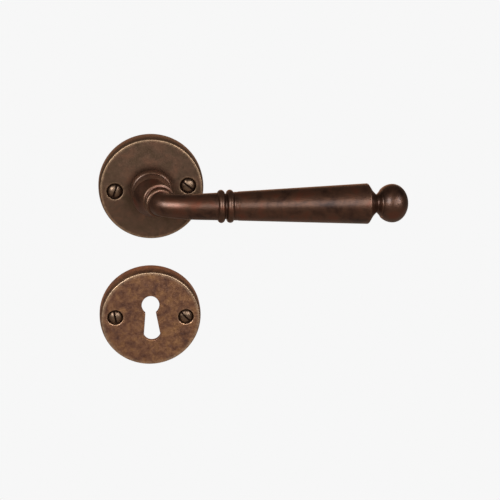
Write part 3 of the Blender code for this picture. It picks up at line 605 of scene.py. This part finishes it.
# Where the outline turns sharply outwards the wax is rubbed off, most by the rose, and where it
# turns inwards dirt has stayed
slope = np.arctan2(np.diff(lever_radii), np.diff(lever_stations))
crease = np.concatenate(([0.0], np.diff(slope), [0.0])) / LEVER_STEP
wear_there = np.where(lever_stations < BEND_STATIONS[4], ROSE_END_WEAR, ARM_WEAR)
edge_wear = softened(np.clip(-crease - WEAR_START, 0.0, WEAR_FULL), 2) * wear_there
hollow_dirt = softened(np.clip(crease - DIRT_START, 0.0, DIRT_FULL), 3) * HOLLOW_DIRT
mark(lever.data, "wear", on_rings(edge_wear))
mark(lever.data, "grime_and_shade", on_rings(hollow_dirt))

# The grub screw's hole from below, with its sunk mouth: (height, radius) rows
grub_turning = np.array(
    (
        (-12.0, GRUB_MOUTH_RADIUS),
        (-9.75, GRUB_MOUTH_RADIUS),
        (-9.3, GRUB_HOLE_RADIUS),
        (-9.0, GRUB_HOLE_RADIUS),
        (0.0, GRUB_HOLE_RADIUS),
    )
)
grub_turn = full_turn(GRUB_HOLE_SIDES)
grub_rings = np.empty((len(grub_turning), GRUB_HOLE_SIDES, 3))
grub_rings[:, :, 0] = grub_turning[:, 1:] * np.cos(grub_turn)
grub_rings[:, :, 1] = grub_turning[:, 1:] * np.sin(grub_turn) - GRUB_DEPTH
grub_rings[:, :, 2] = grub_turning[:, :1]
shaped(
    lever,
    [
        skin("grub_hole", grub_rings * MM),
        block("socket", (-SOCKET_HALF, 0.0, -SOCKET_HALF), (SOCKET_HALF, -SOCKET_END, SOCKET_HALF)),
        block("flat_above", (-FLATS_REACH, 0.0, SPIGOT_FLAT), (FLATS_REACH, -FLATS_END, FLATS_REACH)),
        block("flat_below", (-FLATS_REACH, 0.0, -FLATS_REACH), (FLATS_REACH, -FLATS_END, -SPIGOT_FLAT)),
    ],
)
# Waxed and handled bronze: dark red-brown with a soft sheen under the wax
waxed_bronze = aged_bronze(
    "waxed_lever_bronze",
    tones=(BRONZE_SHADOW, BRONZE_BROWN, BRONZE_RED),
    bare=BRONZE_BARE,
    patch=9.0,
    gloss=(0.34, 0.48),
    metallic=0.85,
    coat=0.4,
)
lever.data.materials.append(waxed_bronze)
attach(lever, "lever")
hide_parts("lever_handle")


# ---- The rose ----
# A hollow round bronze casting, 52 mm across, with its face dressed flat and its edge rubbed
# bare by hands. Posts inside it take the screws, whose heads sit in round-lipped recesses.

DISC_RADIUS, DISC_DEPTH = 26.0, 9.3
DISC_FACE_RADIUS, DISC_EDGE = 25.0, 0.35
CAVITY_RADIUS, CAVITY_DEPTH = 23.2, 7.1
DISC_SIDES = 200
BORE_RADIUS = 9.88
SCREW_CIRCLE, ROSE_TURN, ROSE_SCREW_LIFT = 18.0, math.radians(3.7), 0.5
RECESS_RADIUS, RECESS_FLOOR, RECESS_LIP, RECESS_SIDES = 3.95, 7.7, 0.5, 72
SHANK_HOLE, POST_RADIUS, ROSE_POST_BACK = 2.2, 3.8, 1.6
PLATE_SCREW_CIRCLE, PLATE_POST_RADIUS = 19.2, 2.9
PLATE_TAPPING, PLATE_TAPPING_END, PLATE_TAPPING_SIDES = 1.4, 5.6, 24
HEEL_ROUND, CAVITY_ROUND, FLOOR_ROUND = 0.35, 0.6, 0.3
FACE_RINGS, SIDE_RINGS = 18, 24
# A post reaches this far into the front wall, so that the two are one casting
POST_SUNK = 0.5
RIM_WEAR, SIDE_WEAR, LIP_WEAR, RECESS_DIRT = 0.8, 0.12, 0.3, 0.85
# A painted shadow on the rose round the lever's neck: how dark it is, the radius it reaches and the
# millimetres it fades over
NECK_SHADOW, NECK_SHADOW_RADIUS, NECK_SHADOW_FADE = 0.8, 13.5, 3.0


def arc(centre, radius, start, end, count):
    """Points on an arc, both ends included: centre + radius (cos a, sin a), in degrees."""
    a = np.radians(np.linspace(start, end, count))
    return np.column_stack((centre[0] + radius * np.cos(a), centre[1] + radius * np.sin(a)))


def disc_profile(inner):
    """The closed (radius, depth) line of a cover, from the inner radius over the face and back.

    The side leans in by the fourth power of its depth, as a pattern does that leaves sand freely.
    """
    flat = np.linspace(inner, DISC_FACE_RADIUS - DISC_EDGE, FACE_RINGS)
    face = np.column_stack((flat, np.full(FACE_RINGS, DISC_DEPTH)))
    edge = arc((DISC_FACE_RADIUS - DISC_EDGE, DISC_DEPTH - DISC_EDGE), DISC_EDGE, 80.0, 20.0, 6)
    depth = np.linspace(DISC_DEPTH - DISC_EDGE - 0.05, HEEL_ROUND + 0.1, SIDE_RINGS)
    lean = (DISC_RADIUS - DISC_FACE_RADIUS) * (depth / DISC_DEPTH) ** 4
    side = np.column_stack((DISC_RADIUS - lean, depth))
    heel = arc((DISC_RADIUS - HEEL_ROUND, HEEL_ROUND), HEEL_ROUND, -20.0, -90.0, 4)
    back = np.array(((CAVITY_RADIUS, 0.0), (CAVITY_RADIUS, CAVITY_DEPTH - CAVITY_ROUND)))
    corner_centre = (CAVITY_RADIUS - CAVITY_ROUND, CAVITY_DEPTH - CAVITY_ROUND)
    corner = arc(corner_centre, CAVITY_ROUND, 20.0, 90.0, 4)
    end = np.array(((inner, CAVITY_DEPTH),))
    return np.vstack((face, edge, side, heel, back, corner, end))


def drum(name, x, z, radius, back, front, sides=48):
    """A plain round post between two depths."""
    return turned_out(name, np.array(((radius, back), (radius, front))), x, z, sides)


def screw_hole(name, x, z):
    """What a screw takes out of its cover: a flared lip, the head's recess and the shank's hole."""
    lip = arc((RECESS_RADIUS + RECESS_LIP, DISC_DEPTH - RECESS_LIP), RECESS_LIP, 98.0, 180.0, 8)
    above = np.array(((RECESS_RADIUS + RECESS_LIP + 0.3, DISC_DEPTH + 1.0),))
    floor_centre = (RECESS_RADIUS - FLOOR_ROUND, RECESS_FLOOR + FLOOR_ROUND)
    floor_corner = arc(floor_centre, FLOOR_ROUND, 0.0, -90.0, 4)
    shank = np.array(((SHANK_HOLE, RECESS_FLOOR), (SHANK_HOLE, -1.0)))
    return turned_out(name, np.vstack((above, lip, floor_corner, shank)), x, z, RECESS_SIDES)


def near_circle(points, x, z, radius, depth, reach):
    """1 on the circle about x, z at the given radius and depth, falling to 0 at the reach."""
    off = np.hypot(points[:, 0] - x, points[:, 2] - z) - radius
    return np.clip(1.0 - np.hypot(off, points[:, 1] + depth) / reach, 0.0, 1.0)


def wear_cover(mesh, x, z, places, extra_wear=0.0, neck_shadow=0.0):
    """Mark a cover's rubbed rim and recess lips, the dirt in its recesses and a painted shadow round a
    neck.

    The painted shadow round the neck fades to nothing over a few millimetres and lies thicker above it,
    where shade falls.
    """
    points = vertices(mesh)
    depth = -points[:, 1]
    rim = near_circle(points, x, z, DISC_FACE_RADIUS - 0.1, DISC_DEPTH - 0.05, 0.9)
    radius = np.hypot(points[:, 0] - x, points[:, 2] - z)
    side = np.where((radius > CAVITY_RADIUS + 0.2) & (depth < DISC_DEPTH - 1.0), SIDE_WEAR, 0.0)
    lips = np.zeros(len(points))
    # A painted shadow round the neck, darker above it, where shade falls
    above = np.clip(0.45 + 0.06 * points[:, 2], 0.0, 1.0)
    dirt_and_shade = neck_shadow * np.clip((NECK_SHADOW_RADIUS - radius) / NECK_SHADOW_FADE, 0.0, 1.0) * above
    for px, pz in places:
        lip = near_circle(points, px, pz, RECESS_RADIUS + 0.25, DISC_DEPTH - 0.15, 0.8)
        lips = np.maximum(lips, lip)
        inside = np.hypot(points[:, 0] - px, points[:, 2] - pz) < RECESS_RADIUS + 0.1
        dirt_and_shade = np.maximum(dirt_and_shade, np.where(inside & (depth < DISC_DEPTH - 0.4), RECESS_DIRT, 0.0))
    all_over = np.full(len(points), extra_wear)
    mark(mesh, "wear", np.maximum.reduce((rim * RIM_WEAR, side, lips * LIP_WEAR, all_over)))
    mark(mesh, "grime_and_shade", dirt_and_shade)


def beside(angle, radius, x=0.0, z=0.0):
    """The x and z of a point at an angle and a distance from another point."""
    return x + radius * math.cos(angle), z + radius * math.sin(angle)


rose_screws = [
    beside(turn, SCREW_CIRCLE, 0.0, ROSE_SCREW_LIFT) for turn in (ROSE_TURN + math.pi, ROSE_TURN)
]
plate_screws = [beside(ROSE_TURN + side * math.pi / 2, PLATE_SCREW_CIRCLE) for side in (1, -1)]
rose_mesh = turned_out("rose", disc_profile(BORE_RADIUS), 0.0, 0.0, DISC_SIDES, closed=True)
rose = link_new("rose", rose_mesh)
post_front = CAVITY_DEPTH + POST_SUNK
posts = [drum("post", x, z, POST_RADIUS, ROSE_POST_BACK, post_front) for x, z in rose_screws]
posts += [
    drum("plate_post", x, z, PLATE_POST_RADIUS, ROSE_POST_BACK, post_front) for x, z in plate_screws
]
shaped(rose, posts, "UNION")
holes = [screw_hole("screw_hole", x, z) for x, z in rose_screws]
holes += [
    drum("plate_tapping", x, z, PLATE_TAPPING, -1.0, PLATE_TAPPING_END, PLATE_TAPPING_SIDES)
    for x, z in plate_screws
]
shaped(rose, holes)
# The rose's marks include the painted shadow round the lever's neck
wear_cover(rose.data, 0.0, 0.0, rose_screws, neck_shadow=NECK_SHADOW)
# Dressed and browned bronze without wax: an even brown, dull, with a thin bright edge
dressed_bronze = aged_bronze(
    "dressed_rose_bronze",
    tones=("#62503f", "#715a4a", "#84624f"),
    bare="#d9b896",
    patch=7.0,
    gloss=(0.40, 0.54),
    metallic=1.0,
    coat=0.0,
)
rose.data.materials.append(dressed_bronze)
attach(rose, "root")
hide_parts("rose_cover")


# ---- The keyhole cover ----
# The same casting without the bore, pierced for the key and handled more, so that its brown has
# worn to a lighter, spotted one. It hangs below the rose, a little to its left.

KEYHOLE_X, KEYHOLE_Z = -1.25, -68.4
KEYHOLE_TURN, KEYHOLE_SCREW_LIFT = math.radians(-1.0), 0.95
ROUND_RADIUS, ROUND_HEIGHT, ROUND_LIFT = 4.55, 5.2, 7.2
WAIST_WIDTH, FLARE_LENGTH = 5.4, 16.1
FOOT_WIDTH, FOOT_SHIFT, FOOT_SAG = 8.5, 0.6, 3.1
KEYHOLE_SOFTNESS, KEYHOLE_LIP, KEYHOLE_BACK, KEYHOLE_SIDES = 0.12, 0.2, 6.0, 360
KEYHOLE_POST_BACK, HANDLED_WEAR = 0.3, 0.08


def keyhole_line():
    """The keyhole's outline about the cover's centre, with even points and softened corners.

    An oval opens at its foot into a slot that flares to the foot, which is an arc that sags.
    """
    open_angle = math.degrees(math.asin(WAIST_WIDTH / 2 / ROUND_RADIUS))
    top = arc((0.0, 0.0), ROUND_RADIUS, -90.0 + open_angle, 270.0 - open_angle, 90)
    top = top * (1.0, ROUND_HEIGHT / ROUND_RADIUS) + (0.0, ROUND_LIFT)
    foot_radius = (FOOT_WIDTH**2 / 4 + FOOT_SAG**2) / (2 * FOOT_SAG)
    middle = ROUND_LIFT - FLARE_LENGTH - FOOT_SAG + foot_radius
    half = math.degrees(math.atan2(FOOT_WIDTH / 2, foot_radius - FOOT_SAG))
    foot = arc((FOOT_SHIFT, middle), foot_radius, -90.0 - half, -90.0 + half, 60)
    loop = np.vstack((top, foot, top[:1]))
    run = run_along(loop)
    even = np.linspace(0.0, run[-1], KEYHOLE_SIDES, endpoint=False)
    line = np.column_stack((np.interp(even, run, loop[:, 0]), np.interp(even, run, loop[:, 1])))
    width = max(int(KEYHOLE_SOFTNESS / (run[-1] / KEYHOLE_SIDES)), 1)
    wrapped = np.vstack((line[-3 * width :], line, line[: 3 * width]))
    return np.column_stack([np.convolve(column, bell_of(width), mode="valid") for column in wrapped.T])


def keyhole_tool(line):
    """The keyhole's volume: its outline at each depth, pushed outwards by the rounded lip's flare."""
    along = np.roll(line, -1, axis=0) - np.roll(line, 1, axis=0)
    outward = np.column_stack((along[:, 1], -along[:, 0])) / np.linalg.norm(along, axis=1)[:, None]
    if np.einsum("ij,ij->", outward, line - line.mean(axis=0)) < 0:
        outward = -outward
    lip = arc((KEYHOLE_LIP, DISC_DEPTH - KEYHOLE_LIP), KEYHOLE_LIP, 100.0, 180.0, 6)
    steps = np.vstack(((KEYHOLE_LIP + 0.05, DISC_DEPTH + 1.0), lip, (0.0, KEYHOLE_BACK)))
    rings = np.empty((len(steps), len(line), 3))
    for ring, (push, depth) in zip(rings, steps):
        ring[:, (0, 2)] = line + outward * push + (KEYHOLE_X, KEYHOLE_Z)
        ring[:, 1] = -depth
    return skin("keyhole", rings * MM)


keyhole_screws = [
    beside(turn, SCREW_CIRCLE, KEYHOLE_X, KEYHOLE_Z + KEYHOLE_SCREW_LIFT)
    for turn in (KEYHOLE_TURN + math.pi, KEYHOLE_TURN)
]
cover_mesh = turned_out("keyhole_plate", disc_profile(POLE_RADIUS), KEYHOLE_X, KEYHOLE_Z, DISC_SIDES)
cover = link_new("keyhole_plate", cover_mesh)
posts = [drum("post", x, z, POST_RADIUS, KEYHOLE_POST_BACK, post_front) for x, z in keyhole_screws]
shaped(cover, posts, "UNION")
holes = [screw_hole("screw_hole", x, z) for x, z in keyhole_screws]
shaped(cover, holes + [keyhole_tool(keyhole_line())])
wear_cover(cover.data, KEYHOLE_X, KEYHOLE_Z, keyhole_screws, HANDLED_WEAR)
# The same bronze rubbed by keys and hands: lighter, with tan and purple-brown blotches
handled_bronze = aged_bronze(
    "handled_cover_bronze",
    tones=("#6b4a45", "#9c7058", "#c8976a"),
    bare="#f0d6b4",
    patch=4.0,
    gloss=(0.36, 0.52),
    metallic=1.0,
    coat=0.0,
)
cover.data.materials.append(handled_bronze)
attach(cover, "root")
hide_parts("keyhole_cover")


# ---- The wood screws ----
# Four slotted round-head screws, turned from bronze bar with a rolled thread and browned like
# the covers. Their slots stand as they were left when the screws were tight.

HEAD_RADIUS, HEAD_HEIGHT, HEAD_SEAT = 3.4, 1.9, 8.0
SHANK_RADIUS, SCREW_LENGTH = 1.9, 25.0
SLOT_HALF_WIDTH, SLOT_DEPTH = 0.45, 1.1
THREAD_PITCH, THREAD_DEPTH, THREAD_SHARE = 1.35, 0.42, 0.68
THREAD_SIDES, THREAD_STEP, THREAD_CREST = 32, 0.135, 0.28
THREAD_START_FADE, POINT_TAPER, POINT_POWER = 2.0, 7.0, 0.7
SLOT_REACH, SLOT_EDGE = 5.0, 0.12
CROWN_WEAR, SLOT_DIRT = 0.35, 0.9

# Turned bronze, browned with the covers: the darkest of the set, with a little shine on the dome
screw_bronze = aged_bronze(
    "turned_screw_bronze",
    tones=("#3a2a20", "#5f4a3a", "#7d6450"),
    bare="#cdb093",
    patch=2.0,
    gloss=(0.3, 0.45),
    metallic=0.9,
    coat=0.2,
)


def threaded_screw(name, x, z, slot_angle):
    """A screw about its own line: a domed head, a plain shank, then a thread down to its point.

    The thread's radius is the core's plus a crest that repeats along the line by the pitch, and
    moves on by one pitch for each turn round, so that it winds.
    """
    dome = arc((0.0, 0.0), 1.0, 89.0, 8.0, 18) * (HEAD_RADIUS, HEAD_HEIGHT) + (0.0, HEAD_SEAT)
    underside = np.array(((HEAD_RADIUS - 0.05, HEAD_SEAT), (SHANK_RADIUS + 0.2, HEAD_SEAT)))
    thread_start = HEAD_SEAT - SCREW_LENGTH * (1 - THREAD_SHARE)
    point = HEAD_SEAT - SCREW_LENGTH
    down = np.arange(thread_start, point, -THREAD_STEP)
    shank = np.array(((SHANK_RADIUS, HEAD_SEAT - 0.3), (SHANK_RADIUS, thread_start + 0.2)))
    smooth = np.vstack((dome, underside, shank))
    turn = full_turn(THREAD_SIDES)
    phase = ((down[:, None] / THREAD_PITCH) - turn / (2 * math.pi)) % 1.0
    crest = np.clip(1.0 - np.abs(phase - 0.5) / THREAD_CREST, 0.0, 1.0)
    taper = np.clip((down - point) / POINT_TAPER, 0.0, 1.0)[:, None] ** POINT_POWER
    fade = np.clip((thread_start - down) / THREAD_START_FADE, 0.0, 1.0)[:, None]
    core = SHANK_RADIUS - THREAD_DEPTH * fade
    wound = (core + THREAD_DEPTH * crest * fade) * taper + POLE_RADIUS
    radii = np.vstack((np.repeat(smooth[:, :1], THREAD_SIDES, axis=1), wound))
    depths = np.concatenate((smooth[:, 1], down))
    rings = np.empty((len(depths), THREAD_SIDES, 3))
    rings[:, :, 0] = x + radii * np.cos(turn)
    rings[:, :, 1] = -depths[:, None]
    rings[:, :, 2] = z + radii * np.sin(turn)
    screw = link_new(name, skin(name, rings * MM))
    top = HEAD_SEAT + HEAD_HEIGHT
    half = SLOT_HALF_WIDTH
    cos_slot, sin_slot = math.cos(slot_angle), math.sin(slot_angle)
    section = np.array(((half + 0.5, 1.0), (half + SLOT_EDGE, 0.0), (half, -0.15), (half, -SLOT_DEPTH)))
    section = np.vstack((section, section[::-1] * (-1.0, 1.0)))
    ends = np.array((-SLOT_REACH, SLOT_REACH))
    slot = np.empty((2, len(section), 3))
    slot[:, :, 0] = x + ends[:, None] * cos_slot - section[:, 0] * sin_slot
    slot[:, :, 1] = -(top + section[:, 1])
    slot[:, :, 2] = z + ends[:, None] * sin_slot + section[:, 0] * cos_slot
    shaped(screw, [skin("slot", slot * MM)])
    points = vertices(screw.data)
    depth = -points[:, 1]
    off_line = np.abs((points[:, 2] - z) * cos_slot - (points[:, 0] - x) * sin_slot)
    in_slot = (off_line < half + 0.05) & (depth < top - 0.25) & (depth > HEAD_SEAT)
    crown = np.clip((depth - HEAD_SEAT) / HEAD_HEIGHT, 0.0, 1.0)
    mark(screw.data, "wear", CROWN_WEAR * crown**2)
    mark(screw.data, "grime_and_shade", np.where(in_slot, SLOT_DIRT, 0.0))
    screw.data.materials.append(screw_bronze)
    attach(screw, "root")
    return screw


# Each screw's node, its place and the angle of its slot in degrees
SCREWS = (
    ("rose_screw_left", rose_screws[0], 70.0),
    ("rose_screw_right", rose_screws[1], -40.0),
    ("keyhole_screw_left", keyhole_screws[0], -79.0),
    ("keyhole_screw_right", keyhole_screws[1], -47.0),
)
for screw_name, (screw_x, screw_z), slot_turn in SCREWS:
    made_screw = threaded_screw(f"{screw_name}_wood_screw", screw_x, screw_z, math.radians(slot_turn))
    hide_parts(screw_name)


# ---- The pieces inside the rose, and the spindle ----
# Pressed, turned and rolled parts of plated steel and brass that keep the shape they have in the
# model: the plate and its screws, the stops, the bush, the washer, the driver and the spring.

TOOL_MARK, TARNISH = 0.6, 6.0


def machined_metal(name, dull, bright, gloss, streak):
    """Cut or rolled metal: fine marks a few tenths of a millimetre apart, drawn out one way.

    Tarnish clouds it between a dull and a bright tone, over about 6 mm.
    """
    made, tree = bare_material(name)
    place = add(tree, "ShaderNodeTexCoord").outputs["Object"]
    drawn = add(tree, "ShaderNodeMapping", {"Vector": place, "Scale": streak})
    marks = add(
        tree,
        "ShaderNodeTexNoise",
        {"Vector": drawn.outputs[0], "Scale": 1 / (TOOL_MARK * MM), "Detail": 4.0, "Roughness": 0.6},
    )
    tarnish = add(
        tree,
        "ShaderNodeTexNoise",
        {"Vector": place, "Scale": 1 / (TARNISH * MM), "Detail": 5.0, "Roughness": 0.6},
    )
    ramp = add(tree, "ShaderNodeValToRGB", {"Fac": tarnish.outputs["Fac"]})
    ramp.color_ramp.elements[0].position = 0.35
    ramp.color_ramp.elements[0].color = linear(dull)
    ramp.color_ramp.elements[1].position = 0.65
    ramp.color_ramp.elements[1].color = linear(bright)
    sheen = add(
        tree,
        "ShaderNodeMapRange",
        {
            "Value": marks.outputs["Fac"],
            "From Min": 0.3,
            "From Max": 0.7,
            "To Min": gloss - 0.08,
            "To Max": gloss + 0.1,
        },
    )
    relief = add(
        tree,
        "ShaderNodeBump",
        {"Height": marks.outputs["Fac"], "Strength": 0.25, "Distance": 0.02 * MM},
    )
    shader = add(
        tree,
        "ShaderNodeBsdfPrincipled",
        {
            "Base Color": ramp.outputs["Color"],
            "Metallic": 1.0,
            "Roughness": sheen.outputs[0],
            "Normal": relief.outputs[0],
        },
    )
    add(tree, "ShaderNodeOutputMaterial", {"Surface": shader.outputs[0]})
    return made


# How the tool marks lie: the same each way, a little or far drawn out along the spindle, or upright
EVEN, OUTWARDS, LENGTHWISE, UPRIGHT = (1.0, 1.0, 1.0), (1.0, 0.2, 1.0), (1.0, 0.06, 1.0), (1.0, 1.0, 0.2)
# Zinc plate is pale, the spindle's bar is cold drawn, the bush is brass, the wire is tempered dark in
# oil, and black oxide is nearly black
zinc_plate = machined_metal("zinc_plated_pressed_steel", "#8f9093", "#bfc0c2", 0.36, UPRIGHT)
drawn_bar = machined_metal("cold_drawn_spindle_steel", "#84858a", "#b4b5b8", 0.32, LENGTHWISE)
bright_screw = machined_metal("zinc_plated_screw_steel", "#9a9a9c", "#c8c8ca", 0.28, EVEN)
turned_brass = machined_metal("turned_bush_brass", "#a07a3e", "#d0a75e", 0.3, OUTWARDS)
spring_wire = machined_metal("oil_tempered_spring_wire", "#3c3d42", "#5d5e63", 0.3, EVEN)
black_oxide = machined_metal("black_oxide_steel", "#1f1f21", "#38383b", 0.4, EVEN)
FINISHES = {
    "rose_back_plate": zinc_plate,
    "spring_driver": zinc_plate,
    "thrust_washer": zinc_plate,
    "plate_screw_top": bright_screw,
    "plate_screw_bottom": bright_screw,
    "stop_pin_rest": bright_screw,
    "stop_pin_end": bright_screw,
    "neck_bush": turned_brass,
    "return_spring": spring_wire,
    "retaining_clip": black_oxide,
    "grub_screw": black_oxide,
    "spindle": drawn_bar,
}
for node_name, finish in FINISHES.items():
    node = frame["nodes"][node_name]
    for place_in_list in range(max(len(node.material_slots), 1)):
        if node.material_slots:
            node.material_slots[place_in_list].material = finish
        else:
            node.data.materials.append(finish)
